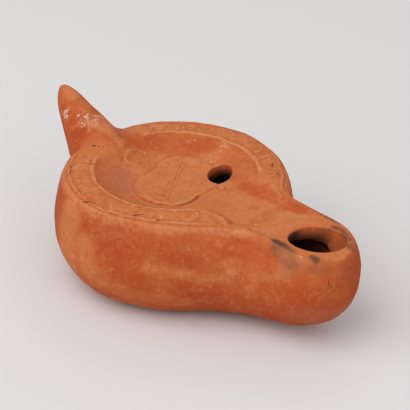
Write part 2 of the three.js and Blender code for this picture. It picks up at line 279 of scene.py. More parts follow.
def recess_distance(x, y):
    """Signed distance from the rim of the disc and of the channel that opens from it, negative inside."""
    flare = CHANNEL_FLARE * np.maximum(x - RIM_RADIUS * 0.83, 0)
    half_width = CHANNEL_HALF_WIDTH + FAR_BANK * smooth(y, -6, 6) + flare
    channel = np.maximum(np.abs(y) - half_width, CHANNEL_START - x)
    return joined(disc_distance(x, y), channel, CHANNEL_FILLET)


def floor_line(x):
    """Height of the floor of the disc, of the channel and of the nozzle's top."""
    channel = mix(DISC_FLOOR, NOZZLE_TOP_HEIGHT - CHANNEL_DEPTH / 3, smooth(x, CHANNEL_START, RIM_RADIUS))
    return mix(channel, edge_line(x), smooth(x, BODY_RADIUS * 0.85, NOZZLE_END - NOZZLE_END_RADIUS / 4))


def plain_top(x, y):
    """Height of the top without its ridges and its carving."""
    inset = -outline_distance(x, y)
    depth = np.maximum(np.minimum(-recess_distance(x, y), inset - edge_inset(x, y)), 0)
    fall = arris_drop(x) * np.clip(1 - (inset - arris_inset(x, y)) / 4, 0, 1) ** 2
    dish = (1 - np.minimum(depth / RIM_RADIUS, 1)) ** DISC_HOLLOW
    far_slope = mix(FAR_SLOPE, CHANNEL_SLOPE * 0.7, smooth(x, RIM_RADIUS, BODY_RADIUS * 1.1))
    slope = 1 - smooth(depth / mix(CHANNEL_SLOPE, far_slope, smooth(y, -4, 4)), 0, 1)
    wall_share = mix(dish, slope, smooth(x, RIM_RADIUS * 0.5, RIM_RADIUS * 1.1))
    return mix(floor_line(x), edge_line(x), wall_share) - fall


def hump(distance, width):
    """Round ridge profile: 1 on its crest and 0 past the width on either side."""
    return np.maximum(1 - (distance / width) ** 2, 0) ** 1.5


def ridges(x, y):
    """Fine ridges round the disc and along the outer edge of the shoulder, gone by the nozzle."""
    from_rim = mix(recess_distance(x, y), disc_distance(x, y), smooth(y, -4, 4)) - RIDGE_WIDTH / 2
    from_edge = -outline_distance(x, y) - arris_inset(x, y) - RIDGE_WIDTH / 2
    rim = RIM_RIDGE_HEIGHT * hump(from_rim, RIDGE_WIDTH) * (1 - smooth(x, 17, 23) * smooth(y, -4, 4))
    outer = OUTER_RIDGE_HEIGHT * hump(from_edge, RIDGE_WIDTH)
    return np.maximum(rim, outer) * (1 - smooth(x, RIM_RADIUS, BODY_RADIUS * 1.1))


def closed_curve(points, count):
    """Smooth closed curve through a few points."""
    points = np.asarray(points, float)
    size = len(points)
    at = np.arange(count) * size / count
    k = at.astype(int)
    t = (at - k)[:, None]
    a, b, c, d = (points[(k + shift) % size] for shift in (-1, 0, 1, 2))
    square = (2 * a - 5 * b + 4 * c - d) * t ** 2
    cube = (3 * b - a - 3 * c + d) * t ** 3
    return 0.5 * (2 * b + (c - a) * t + square + cube)


def inside_distance(x, y, outline):
    """Signed distance from a closed outline, positive inside it."""
    nearest = np.full(x.shape, 1e9)
    crossings = np.zeros(x.shape, bool)
    for (ax, ay), (bx, by) in zip(outline, np.roll(outline, -1, axis=0)):
        ex, ey = bx - ax, by - ay
        t = np.clip(((x - ax) * ex + (y - ay) * ey) / (ex * ex + ey * ey), 0, 1)
        nearest = np.minimum(nearest, np.hypot(x - ax - t * ex, y - ay - t * ey))
        spans = (ay > y) != (by > y)
        crossings ^= spans & (x < ax + (y - ay) * ex / (ey if ey else 1e-9))
    return np.where(crossings, nearest, -nearest)


def line_distance(x, y, start, end):
    """Distance from a straight line between two places, and how far along it."""
    ex, ey = end[0] - start[0], end[1] - start[1]
    t = np.clip(((x - start[0]) * ex + (y - start[1]) * ey) / (ex * ex + ey * ey), 0, 1)
    return np.hypot(x - start[0] - t * ex, y - start[1] - t * ey), t


def on_fish(along, across):
    """A place of the fish, given in shares of its length."""
    return np.array([along, across]) * FISH_LENGTH + FISH_SHIFT


# Turning points of the fish's outline, in shares of its length
FISH_TURNS = [
    (-0.27, 0.03), (-0.3, 0.16), (-0.255, 0.29), (-0.1, 0.385), (0.06, 0.36), (0.18, 0.28),
    (0.27, 0.17), (0.28, 0.06), (0.285, -0.06), (0.315, -0.2), (0.29, -0.33), (0.18, -0.39),
    (0.04, -0.41), (-0.1, -0.36), (-0.21, -0.26), (-0.265, -0.14), (-0.26, -0.05),
]


def fish_relief(x, y):
    """Height of the fish over the disc: round body, gill lines and eye."""
    outline = closed_curve([on_fish(*turn) for turn in FISH_TURNS], FISH_POINTS)
    depth = inside_distance(x, y, outline)
    crisp_belly = 1 - smooth(np.hypot(x - 4.2, y + 16.4), 3.5, 6.5)
    crisp_snout = 1 - smooth(np.hypot(x - 13.2, y + 7.5), 5.5, 8)
    belly = np.maximum(crisp_belly, 0.55 * crisp_snout)
    soft = 0.5 * smooth(depth, -0.4, 1.6)
    crisp = 0.8 * smooth(depth, -0.05, 0.45)
    height = FISH_HEIGHT * (mix(soft, crisp, belly) + 0.35 * smooth(depth, 0, 8))
    height -= (0.07 + 0.85 * belly) * hump(depth + 0.5, 0.75)
    height += 0.14 * hump(depth - 0.3, 0.5) * (1 - belly)
    body = smooth(depth, 0.5, 2)
    for start, end in (((-0.18, 0.25), (0.12, -0.315)), ((-0.148, 0.26), (0.15, -0.295))):
        away, _ = line_distance(x, y, on_fish(*start), on_fish(*end))
        height += (0.13 * hump(away, 0.34) - 0.06 * hump(away - 0.5, 0.34)) * body
    away, _ = line_distance(x, y, on_fish(0.13, 0.3), on_fish(0.16, 0.02))
    height += 0.12 * hump(away, 0.7) * body
    eye_x, eye_y = on_fish(-0.012, 0.119)
    eye = np.hypot(x - eye_x, y - eye_y)
    return height + 0.2 * hump(eye - 1.3, 0.5) + 0.15 * hump(eye, 0.7)


def tail_relief(x, y):
    """Tail fan that opens towards the handle, its rays as fine ribs."""
    root_x, root_y = on_fish(-0.285, 0)
    open_angle = math.radians(35)
    away = np.hypot(x - root_x, y - root_y)
    turn = np.angle(np.exp(1j * (np.arctan2(y - root_y, x - root_x) - math.radians(175)))) / open_angle
    edge = FISH_LENGTH * 0.255 * (1 - 0.17 * turn ** 2)
    within = 1 - smooth(np.abs(turn), 0.9, 1.1)
    fan = smooth(edge - away, -0.1, 1.1) * within * smooth(away, 0, 1.5)
    ribs = 0.5 + 0.5 * np.cos(turn * math.pi * 7)
    rim = 0.18 * hump(edge - away - 0.6, 0.6) * within
    return fan * FISH_HEIGHT * (0.1 + 0.1 * ribs * smooth(away, 3, 6)) * smooth(away, 1, 5) + rim


# Crumbs of clay: place, size and height
CRUMBS = [
    (15.0, 5.6, 1.2, 0.8), (13.5, 6.1, 1.0, 0.5), (15.9, 7.1, 0.9, 0.6), (11.2, 2.0, 0.8, 0.25),
    (17.6, 6.6, 0.6, 0.3), (12.6, 4.6, 0.5, 0.3), (17.0, 4.4, 0.5, 0.3),
]


def crumbs(x, y):
    """Scraps of clay pushed up beside the fill hole, and a few specks of grit."""
    height = np.zeros_like(x)
    for cx, cy, size, rise in CRUMBS:
        height += rise * hump(np.hypot(x - cx, (y - cy) * 1.3), size)
    return height


def stamp_relief(x, y):
    """Stamps round both sides of the shoulder, heart-shaped leaves and rings in turn."""
    height = np.zeros_like(x)
    middle = BODY_RADIUS - SHOULDER_INSET - SHOULDER_WIDTH / 2 + 0.3
    for side in (-1, 1):
        for k in range(STAMPS_PER_SIDE + 1):
            angle = side * (FIRST_STAMP + STAMP_PITCH * k) + 0.025 * math.sin(9.1 * k + side)
            dx, dy = x - middle * math.cos(angle), y - middle * math.sin(angle)
            tilt = angle + 0.3 * math.sin(5.3 * k + 2 * side)
            along = (dx * math.cos(tilt) + dy * math.sin(tilt)) / STAMP_SIZE
            across = (dy * math.cos(tilt) - dx * math.sin(tilt)) / STAMP_SIZE
            if (k + (side > 0)) % 2:
                notch = 0.16 * hump(across, 0.3) * (along < 0)
                leaf = np.hypot(along * 0.95, across / (0.98 - 0.45 * along)) + notch
                height += STAMP_HEIGHT * (0.45 * smooth(leaf, 1.05, 0.8) + 0.75 * hump(leaf - 0.86, 0.2))
                height += 0.45 * STAMP_HEIGHT * hump(across, 0.13) * smooth(leaf, 0.8, 0.6)
            else:
                away = np.hypot(along, across)
                circles = hump(away - 0.78, 0.23) + 0.8 * hump(away - 0.36, 0.17)
                height += STAMP_HEIGHT * (circles + 0.3 * hump(away, 0.95))
    return height


def lattice_noise(points, seed):
    """Smooth noise between -1 and 1 on a unit lattice."""
    cell = np.floor(points).astype(np.int64)
    t = points - cell
    t = t * t * (3 - 2 * t)
    total = np.zeros(len(points))
    for corner in range(8):
        step = np.array([corner & 1, corner >> 1 & 1, corner >> 2 & 1])
        key = (cell + step) @ np.array([73856093, 19349663, 83492791]) + seed * 2654435761
        key = (key ^ key >> 13) * 1274126177 & 0xFFFFFFFF
        value = (key ^ key >> 16) / 0xFFFFFFFF * 2 - 1
        weight = np.prod(np.where(step, t, 1 - t), axis=1)
        total += value * weight
    return total


def wear_noise(x, y, size, seed):
    """Noise over the top, seen from above."""
    return lattice_noise(np.stack([x, y, np.zeros_like(x)], 1) / size, seed)


def top_height(x, y):
    """Full height of the top: form, ridges and worn relief."""
    band = stamp_relief(x, y) * (1 - 0.85 * smooth(wear_noise(x, y, 4.5, SEED), -0.55, 0.25))
    band += ridges(x, y) * (1 - 0.45 * smooth(wear_noise(x, y, 6.0, SEED + 9), -0.1, 0.6))
    disc = np.hypot(x, y) < RIM_RADIUS + 2
    carving = np.zeros_like(x)
    carving[disc] = fish_relief(x[disc], y[disc]) + crumbs(x[disc], y[disc])
    carving *= 1 - 0.3 * smooth(wear_noise(x, y, 5.0, SEED + 3), 0.0, 0.6)
    rough = 0.1 * wear_noise(x, y, 3.2, SEED + 1) + 0.06 * wear_noise(x, y, 1.3, SEED + 2)
    on_band = smooth(recess_distance(x, y), -1.0, 0.8) * (1 - smooth(x, 24, 33))
    dents = -0.18 * smooth(wear_noise(x, y, 2.4, SEED + 4), 0.32, 0.75) * on_band
    return plain_top(x, y) + band + carving + rough * (0.4 + 0.9 * on_band) + dents


def column_angles(count):
    """Directions of the skin's columns, closer together round the nozzle."""
    turn = 2 * math.pi * np.arange(count) / count
    return turn - COLUMN_CROWDING * np.sin(turn)


def ring(angles, radius, height):
    """One ring of points from a radius for each direction and a height for each place."""
    x = radius * np.cos(angles)
    y = radius * np.sin(angles)
    return np.stack([x, y, height(x, y) + np.zeros_like(x)], 1)


def skin(name, rings, lowest, highest):
    """Closed mesh over rings that run from its lowest point to its highest."""
    columns = len(rings[0])
    points = np.concatenate([[lowest], *rings, [highest]])
    k = np.arange(columns)
    after = (k + 1) % columns
    last = len(points) - 1
    faces = [(0, 1 + b, 1 + a) for a, b in zip(k, after)]
    for level in range(len(rings) - 1):
        low = 1 + level * columns
        high = low + columns
        faces += list(zip(low + k, low + after, high + after, high + k))
    top = 1 + (len(rings) - 1) * columns
    faces += [(top + a, top + b, last) for a, b in zip(k, after)]
    mesh = bpy.data.meshes.new(name)
    mesh.from_pydata((points * MM).tolist(), [], [tuple(int(i) for i in face) for face in faces])
    return mesh


def put(name, mesh):
    """The mesh as an object of the scene."""
    piece = bpy.data.objects.new(name, mesh)
    bpy.context.scene.collection.objects.link(piece)
    return piece


def outer_skin():
    """Outside of the body and the nozzle, with its relief."""
    angles = column_angles(OUTER_COLUMNS)

    def under(x, y):
        return bowl_height(x, np.maximum(-outline_distance(x, y), 0), 0, 0)

    def base(x, y):
        return GROOVE_DEPTH * hump(np.hypot(x, y) - GROOVE_RADIUS, GROOVE_WIDTH / 2)

    rings = [ring(angles, np.full(OUTER_COLUMNS, radius), base) for radius in BASE_RINGS]
    low_radius = radius_at_depth(angles, LOW_DEPTH)
    for share in np.linspace(0, 1, UNDER_RINGS)[:-1]:
        rings.append(ring(angles, mix(BASE_RADIUS, low_radius, share), under))
    for share in np.linspace(1, 0, SIDE_RINGS) ** 1.5:
        rings.append(ring(angles, radius_at_depth(angles, LOW_DEPTH * share), under))

    def edge_radius(share):
        reach = radius_at_depth(angles, ARRIS_INSET * share)
        for _ in range(8):
            inset = arris_inset(reach * np.cos(angles), reach * np.sin(angles))
            reach = radius_at_depth(angles, inset * share)
        return reach

    for share in np.linspace(0, 1, EDGE_RINGS)[1:] ** 1.7:
        rings.append(ring(angles, edge_radius(share), lambda x, y: side_height(x, share)))
    edge = edge_radius(1)
    rim = RIM_RADIUS + RIDGE_WIDTH * 1.5
    for share in np.linspace(0, 1, SHOULDER_RINGS)[1:]:
        rings.append(ring(angles, mix(edge, rim, share), top_height))
    for radius in np.linspace(rim, 0, DISC_RINGS)[1:-1]:
        rings.append(ring(angles, np.full(OUTER_COLUMNS, radius), top_height))
    centre = top_height(np.zeros(1), np.zeros(1))[0]
    return put("outer_skin", skin("outer_skin", rings, (0, 0, 0), (0, 0, centre)))


def oil_chamber():
    """The hollow for the oil, one wall's thickness within the outside."""
    angles = column_angles(INNER_COLUMNS)

    def inside(x, y):
        tip = TIP_WALL * smooth(x, NOZZLE_END - 5, NOZZLE_END + NOZZLE_END_RADIUS * 0.7)
        return np.maximum(-outline_distance(x, y) - WALL - tip, 0)

    def under(x, y):
        return bowl_height(x, inside(x, y), WALL, BASE_THICKNESS)

    def roof(x, y):
        rise = np.sqrt(1 - (1 - np.clip(inside(x, y) / SHOULDER_INSET, 0, 1)) ** 2)
        return mix(seam_line(x), plain_top(x, y) - WALL, rise)

    low_radius = radius_at_depth(angles, LOW_DEPTH)
    rings = [ring(angles, low_radius * share, under) for share in np.linspace(0, 1, 9)[1:-1]]
    for share in np.linspace(1, 0, 16) ** 1.6:
        rings.append(ring(angles, radius_at_depth(angles, mix(WALL, LOW_DEPTH, share)), under))
    for share in np.linspace(0, 1, 12)[1:] ** 1.6:
        rings.append(ring(angles, radius_at_depth(angles, mix(WALL, LOW_DEPTH, share)), roof))
    for share in np.linspace(1, 0, 9)[1:-1]:
        rings.append(ring(angles, low_radius * share, roof))
    top = roof(np.zeros(1), np.zeros(1))[0]
    return put("oil_chamber", skin("oil_chamber", rings, (0, 0, BASE_THICKNESS), (0, 0, top)))


def handle():
    """Spike handle: oval sections from a wide root inside the shoulder to a rounded tip."""
    lean = (HANDLE_TIP - HANDLE_ROOT) / np.linalg.norm(HANDLE_TIP - HANDLE_ROOT)
    side = np.array([0.0, 1.0, 0.0])
    fore = np.cross(side, lean)
    turn = 2 * math.pi * np.arange(HANDLE_COLUMNS) / HANDLE_COLUMNS
    rings = []
    rounded_end = 1 - HANDLE_TIP_ROUND * np.linspace(0.97, 0.02, 16) ** 2
    shares = np.concatenate([np.linspace(-0.44, 0.745, 46), rounded_end])
    for share in shares:
        taper = (1 - max(share, 0)) ** HANDLE_FLARE
        past = max((share - 1) / HANDLE_TIP_ROUND + 1, -share / HANDLE_FOOT_ROUND, 0)
        rounding = math.sqrt(1 - past ** 2)
        depth = mix(HANDLE_TIP_DEPTH, HANDLE_ROOT_DEPTH, taper) * rounding
        width = mix(HANDLE_TIP_WIDTH, HANDLE_ROOT_WIDTH, taper) * rounding
        bend = HANDLE_BEND * hump(share - 0.72, 0.5)
        centre = mix(HANDLE_ROOT, HANDLE_TIP, share) - np.array([bend, bend * 0.3, 0])
        rings.append(centre + np.outer(np.cos(turn) * depth, fore) + np.outer(np.sin(turn) * width, side))
    foot = mix(HANDLE_ROOT, HANDLE_TIP, -HANDLE_FOOT_ROUND)
    return put("handle", skin("handle", rings, foot, HANDLE_TIP))


def hole_cutter(name, centre, half_length, half_width, turn, lip, lean=(0, 0)):
    """Oval cutter whose wall flares into a rounded lip that follows the surface it cuts.

    The lean is how far the foot of the cutter lies aside of the hole."""
    angles = 2 * math.pi * np.arange(HOLE_COLUMNS) / HOLE_COLUMNS

    def oval(flare, height, shift=(0, 0)):
        along = (half_length + flare) * np.cos(angles)
        across = (half_width + flare) * np.sin(angles)
        x = centre[0] + shift[0] + along * math.cos(turn) - across * math.sin(turn)
        y = centre[1] + shift[1] + along * math.sin(turn) + across * math.cos(turn)
        return np.stack([x, y, height(x, y) + np.zeros_like(x)], 1)

    floor = SEAM_HEIGHT + 3
    foot = -0.6 * math.hypot(*lean)
    rings = [oval(foot, lambda x, y: floor, lean), oval(0, lambda x, y: top_height(x, y) - 2.5 * lip)]
    for step in np.linspace(0, math.pi / 2, 7):
        flare = lip * (1 - math.cos(step))
        rings.append(oval(flare, lambda x, y: top_height(x, y) - lip * (1 - math.sin(step))))
    rings.append(oval(lip * 2.5, lambda x, y: top_height(x, y) + lip * 0.4))
    rings.append(oval(lip * 2.5, lambda x, y: top_height(x, y) + 8))
    lowest = (centre[0] + lean[0], centre[1] + lean[1], floor)
    return put(name, skin(name, rings, lowest, (*centre, BODY_HEIGHT + 8)))


def combine(target, other, operation):
    """Joins or cuts target with the other piece, which is then deleted."""
    change = target.modifiers.new(operation.lower(), "BOOLEAN")
    change.operation = operation
    change.solver = "MANIFOLD"
    change.object = other
    bpy.context.view_layer.update()
    done = bpy.data.meshes.new_from_object(target.evaluated_get(bpy.context.evaluated_depsgraph_get()))
    target.modifiers.clear()
    target.data = done
    bpy.data.objects.remove(other)
    return target


def coordinates(mesh):
    values = np.empty(len(mesh.vertices) * 3)
    mesh.vertices.foreach_get("co", values)
    return values.reshape(-1, 3)


def normals(mesh):
    values = np.empty(len(mesh.vertices) * 3)
    mesh.vertex_normals.foreach_get("vector", values)
    return values.reshape(-1, 3)


def move_vertices(mesh, places):
    """Moves the vertices of a mesh to other places, in metres."""
    mesh.vertices.foreach_set("co", places.ravel())
    mesh.update()


def edge_ends(mesh):
    """The vertices at either end of the edges, as two lists of numbers."""
    ends = np.empty(len(mesh.edges) * 2, int)
    mesh.edges.foreach_get("vertices", ends)
    return ends.reshape(-1, 2).T


def edge_counts(a, b, size):
    """How many of the edges meet at each vertex."""
    return np.bincount(a, minlength=size) + np.bincount(b, minlength=size)


def neighbour_mean(places, a, b, counts):
    """Mean place of the vertices joined to each one by an edge."""
    size = len(places)
    totals = [np.bincount(a, places[b, axis], size) + np.bincount(b, places[a, axis], size)
              for axis in range(3)]
    return np.stack(totals, 1) / counts[:, None]


def tree_of(points):
    """Tree that finds the nearest of some points."""
    tree = KDTree(len(points))
    for index, point in enumerate(points):
        tree.insert(point, index)
    tree.balance()
    return tree


def new_points(piece, before):
    """Vertices of a piece that weren't in the meshes it was joined from."""
    tree = tree_of(before)
    return [place for place in coordinates(piece.data) if tree.find(place)[2] > 1e-6]


def soften(piece, seams):
    """Evens out the skin near seam points, as a wet finger draws a joint smooth."""
    mesh = piece.data
    places = coordinates(mesh)
    tree = tree_of(seams)
    away = np.array([tree.find(place)[2] for place in places])
    share = 1 - smooth(away, JOINT_REACH * 0.35 * MM, JOINT_REACH * MM)
    a, b = edge_ends(mesh)
    near = (share[a] > 0) | (share[b] > 0)
    a, b = a[near], b[near]
    counts = edge_counts(a, b, len(places))
    for _ in range(JOINT_ROUNDS):
        mean = neighbour_mean(places, a, b, np.maximum(counts, 1))
        places += (mean - places) * 0.6 * share[:, None] * (counts > 0)[:, None]
    move_vertices(mesh, places)


def press_tail(piece):
    """Raises the tail fan on the skin where the handle's foot was smoothed into the disc."""
    mesh = piece.data
    places = coordinates(mesh) / MM
    x, y, z = places.T
    near = (np.hypot(x, y) < RIM_RADIUS + 1) & (z > BODY_HEIGHT - 8) & (x < 0)
    rise = tail_relief(x, y) * near * smooth(normals(mesh)[:, 2], 0.3, 0.7)
    places[:, 2] += rise
    move_vertices(mesh, places * MM)


def unevenness(piece):
    """Slight lumps and dents of a hand-finished skin; the flat base stays flat."""
    mesh = piece.data
    places = coordinates(mesh) / MM
    height = places[:, 2]
    lumps = 0.24 * lattice_noise(places / 17, SEED + 5) + 0.1 * lattice_noise(places / 6, SEED + 6)
    strokes = 0.05 * lattice_noise(places / np.array([9.0, 9.0, 1.6]), SEED + 7)
    on_side = smooth(height, 3, 8) * (1 - smooth(height, 31, 34))
    on_handle = smooth(-places[:, 0], 30, 40) * smooth(height, 38, 44)
    share = on_side + 0.45 * smooth(height, 31, 34) + 0.6 * on_handle
    shift = (lumps * share + strokes * on_side)[:, None] * normals(mesh)
    move_vertices(mesh, (places + shift) * MM)


def relaxed(mesh, places, rounds):
    """Places evened out over the mesh, to tell what stands out from what lies low."""
    a, b = edge_ends(mesh)
    counts = edge_counts(a, b, len(places))
    for _ in range(rounds):
        places = neighbour_mean(places, a, b, counts)
    return places


def blot(places, start, end, radius):
    """Share of a soft round or long patch between two places."""
    along = np.array(end, float) - np.array(start, float)
    length = max(along @ along, 1e-6)
    t = np.clip(((places - start) @ along) / length, 0, 1)
    away = np.linalg.norm(places - start - t[:, None] * along, axis=1)
    return 1 - smooth(away, radius * 0.25, radius)


def patches(places, spots):
    """Strength of the strongest of some patches at each place."""
    strongest = np.zeros(len(places))
    for start, end, radius, strength in spots:
        strongest = np.maximum(strongest, strength * blot(places, start, end, radius))
    return strongest


# Patches of the skin: the two places each runs between, its radius and its strength
SOOT = [
    ((49.6, -10.3, 35.1), (53.4, -9.9, 34.8), 2.2, 1.02),
    ((53.0, -10.2, 34.8), (58.2, -10.8, 34.2), 2.2, 0.86),
    ((52.0, -12.4, 33.8), (59.4, -13.0, 32.4), 5.0, 0.7),
    ((63.6, -8.4, 33.7), (65.0, -8.2, 33.3), 2.4, 0.9),
    ((60.6, -9.9, 33.8), (62.6, -9.4, 33.7), 1.1, 0.6),
    ((64.8, -11.0, 31.6), (66.8, -10.4, 30.4), 1.8, 0.5),
    ((58.0, -13.5, 30.5), (67.0, -8.0, 31.5), 6.5, 0.36),
    ((54.0, 7.4, 33.8), (57.4, 9.0, 33.8), 1.2, 0.85),
    ((57.6, 10.2, 34.3), (60.6, 11.0, 34.0), 2.0, 0.85),
    ((61.8, 10.2, 33.8), (64.8, 8.8, 33.4), 2.4, 0.85),
    ((45.0, 14.4, 34.6), (57.0, 13.4, 34.0), 2.4, 0.75),
    ((60.0, 13.0, 32.4), (67.6, 7.2, 31.8), 3.4, 0.5),
    ((67.0, 6.5, 33.2), (68.7, 5.0, 33.0), 2.2, 0.72),
    ((68.0, 6.0, 30.0), (70.5, -2.0, 29.0), 6.0, 0.35),
]
# Darkening of the wick hole's walls: partly soot, partly painted shade where the hole runs deep
WALL_SOOT_AND_SHADE = [
    ((51.0, -5.5, 32.5), (50.0, -1.5, 33.0), 5.5, 1.15),
    ((50.2, 0.0, 30.5), (54.0, 5.5, 29.5), 5.5, 0.5),
    ((55.4, 7.5, 34.2), (56.8, 8.1, 34.1), 1.5, 0.75),
]
LIME = [
    ((-39.5, -4.0, 45.5), (-36.0, -1.5, 45.6), 6.4, 1.15),
    ((-43.4, -4.4, 48.0), (-42.0, -3.0, 48.4), 2.2, 0.7),
    ((-46.3, -5.3, 46.2), (-45.8, -5.8, 44.2), 1.8, 1.7),
    ((-41.5, -7.3, 41.0), (-39.5, -7.2, 38.0), 2.6, 0.6),
    ((-33.5, -3.5, 44.2), (-31.5, -2.6, 43.0), 2.0, 0.7),
    ((-15.4, 15.8, 36.0), (-12.0, 20.6, 37.2), 1.7, 0.8),
    ((-10.6, 21.8, 37.3), (-9.8, 22.4, 37.4), 1.6, 0.9),
    ((-2.0, 25.2, 37.8), (1.8, 25.4, 37.9), 2.0, 1.2),
    ((-1.6, 20.4, 35.5), (-0.2, 22.8, 36.5), 1.7, 1.1),
    ((-5.0, 17.6, 34.7), (0.0, 17.4, 34.6), 2.2, 1.0),
    ((-8.2, 18.4, 35.3), (-7.4, 18.8, 35.5), 1.5, 0.8),
    ((2.8, 23.0, 37.0), (4.0, 21.0, 36.4), 1.8, 0.6),
    ((-10.0, -38.4, 30.0), (-12.0, -38.4, 16.0), 7.0, 0.4),
    ((-4.0, -40.4, 20.0), (4.0, -39.6, 15.0), 6.0, 0.4),
]
PALE_PATCHES = [
    ((-13.0, -38.0, 31.0), (-15.0, -38.0, 15.0), 10.0, 1.0),
    ((-5.0, -40.2, 25.0), (-2.0, -40.6, 16.0), 7.0, 0.85),
    ((0.0, -40.2, 14.0), (30.0, -27.5, 9.0), 6.0, 0.6),
    ((18.5, -35.0, 23.5), (40.0, -19.0, 20.0), 3.5, 0.75),
    ((31.0, -24.0, 22.0), (46.0, -17.0, 27.0), 7.0, 0.4),
    ((35.0, -20.2, 33.2), (36.2, -20.0, 32.2), 1.1, 1.0),
    ((37.7, -21.1, 22.9), (38.3, -21.0, 22.0), 0.8, 0.9),
]
# Redder patches: some are the clay's own mottling, others are painted shade on faces turned from the light,
# on the nozzle's tip and lower side, the handle, the disc's far wall and the channel's far wall
RED_AND_SHADE_PATCHES = [
    ((2.0, -39.6, 31.0), (24.0, -31.5, 30.0), 8.0, 0.85),
    ((24.0, -31.5, 27.0), (34.0, -24.0, 28.0), 7.0, 0.3),
    ((13.0, -37.0, 17.5), (19.0, -35.2, 16.0), 5.5, 0.85),
    ((26.0, -28.5, 33.5), (30.0, -25.0, 31.0), 4.0, 0.6),
    ((64.0, -15.0, 20.0), (72.0, 2.0, 22.0), 12.0, 1.15),
    ((52.0, -16.0, 14.0), (66.0, -12.0, 14.0), 7.0, 0.6),
    ((-37.0, 1.0, 45.5), (-29.0, 0.5, 42.5), 5.0, 0.8),
    ((-26.0, 6.0, 38.0), (-6.0, 22.0, 36.0), 6.0, 0.4),
    ((14.0, 13.0, 35.8), (20.0, 10.4, 35.6), 4.0, 0.35),
    ((20.0, 10.4, 35.6), (44.0, 10.8, 35.2), 3.4, 0.65),
]
# Greyer patches, painted shade: on the near left of the disc's floor and low on the nozzle's tip
MAUVE_SHADE_PATCHES = [
    ((-16.0, -10.0, 34.8), (-9.0, -15.0, 34.6), 7.5, 0.6),
    ((66.0, -13.0, 12.0), (72.0, 2.0, 12.0), 9.0, 0.5),
]

# Cracks of the skin, drawn dark: partly real cracks, as on the nozzle, partly short nicks on the shoulder
# whose darkness is painted shade of small undercuts. The places each runs through
CRACK_AND_NICK_WIDTH = 0.62
CRACKS_AND_SHADED_NICKS = [
    ((-28.0, -19.0, 38.9), (-28.1, -21.6, 38.5), (-25.2, -24.5, 38.6), (-23.8, -27.4, 38.1)),
    ((-9.0, -36.1, 37.4), (-6.5, -35.5, 38.3)),
    ((-6.5, -35.5, 38.3), (-2.9, -34.7, 38.7)),
    ((-31.4, -7.7, 39.3), (-28.9, -6.5, 39.4), (-27.2, -5.8, 39.3)),
    ((-23.8, -17.4, 38.6), (-22.4, -16.3, 39.0)),
    ((-13.8, -33.5, 38.2), (-11.9, -32.0, 39.0)),
    ((10.4, -32.6, 38.6), (12.4, -30.4, 38.9)),
    ((17.6, -30.0, 38.4), (19.6, -27.6, 38.8)),
    ((20.4, 25.2, 38.4), (21.5, 23.6, 38.5)),
    ((25.8, 21.4, 38.3), (27.6, 19.2, 38.2)),
    ((16.9, 19.6, 38.2), (17.6, 18.2, 38.1)),
    ((69.7, -8.3, 28.2), (70.9, -7.6, 25.5)),
]


def marks(piece):
    """Wear, soot, lime and cracks as values on the skin, for the clay's colour, with painted shade inside
    the chamber, on the wick hole's walls, in some red and mauve patches and on the shoulder's nicks.
    """
    mesh = piece.data
    places = coordinates(mesh) / MM
    x, y, z = places.T
    facing = normals(mesh)
    inset = np.maximum(-outline_distance(x, y), 0)
    edge = arris_inset(x, y)
    worn_edge = hump(inset - edge - RIDGE_WIDTH / 2, 0.8)
    worn_edge *= (z > BODY_HEIGHT - 3) * (1 - smooth(x, 26, 36))
    calm = relaxed(mesh, places, FINE_ROUNDS)
    calmer = relaxed(mesh, calm, BROAD_ROUNDS)
    broad = ((calm - calmer) * facing).sum(1) * FINE_ROUNDS / BROAD_ROUNDS
    fine = ((places - calm) * facing).sum(1) - broad
    skin_top = np.where(inset < edge, side_height(x, np.clip(inset / edge, 0, 1)), plain_top(x, y))
    # Painted shade: the chamber seen through the holes is marked to turn black, partly soot and oil stain,
    # partly painted shade; the wick hole's tip-side wall, which the light reaches, is left out
    lit_wall = smooth(x + y * 0.6, NOZZLE_END, NOZZLE_END + 8) * smooth(z, 17, 21)
    inside = smooth(skin_top - z, 2.6, 5.5) * smooth(z - bowl_height(x, inset, 0, 0), 1.5, 2.5)
    inside *= smooth(inset, 2.2, 3.2) * (1 - lit_wall)
    hole_walls = smooth(skin_top - z, 0.2, 0.7) * smooth(inset, 2.2, 3.2)
    wander = 0.3 * np.stack([lattice_noise(places / 0.9, SEED + shift) for shift in (8, 12, 13)], 1)
    crack_and_nick_parts = [(start, end, CRACK_AND_NICK_WIDTH, 1) for line in CRACKS_AND_SHADED_NICKS for start, end in zip(line, line[1:])]
    values = {
        "worn": np.clip(0.5 + fine * (5 - 3.5 * smooth(x, 54, 62)) + worn_edge * 0.5, 0, 1),
        "inside": inside,
        "soot_and_wall_shade": np.maximum(patches(places, SOOT), hole_walls * patches(places, WALL_SOOT_AND_SHADE)),
        "lime": patches(places, LIME),
        "crack_and_nick_shade": patches(places + wander, crack_and_nick_parts),
        "up": np.clip(facing[:, 2], 0, 1),
        "mauve_shade": patches(places, MAUVE_SHADE_PATCHES),
        "pale": patches(places, PALE_PATCHES),
        "red_and_shade": patches(places, RED_AND_SHADE_PATCHES),
    }
    for name, value in values.items():
        layer = mesh.attributes.new(name, "FLOAT", "POINT")
        layer.data.foreach_set("value", value.astype(np.float32))


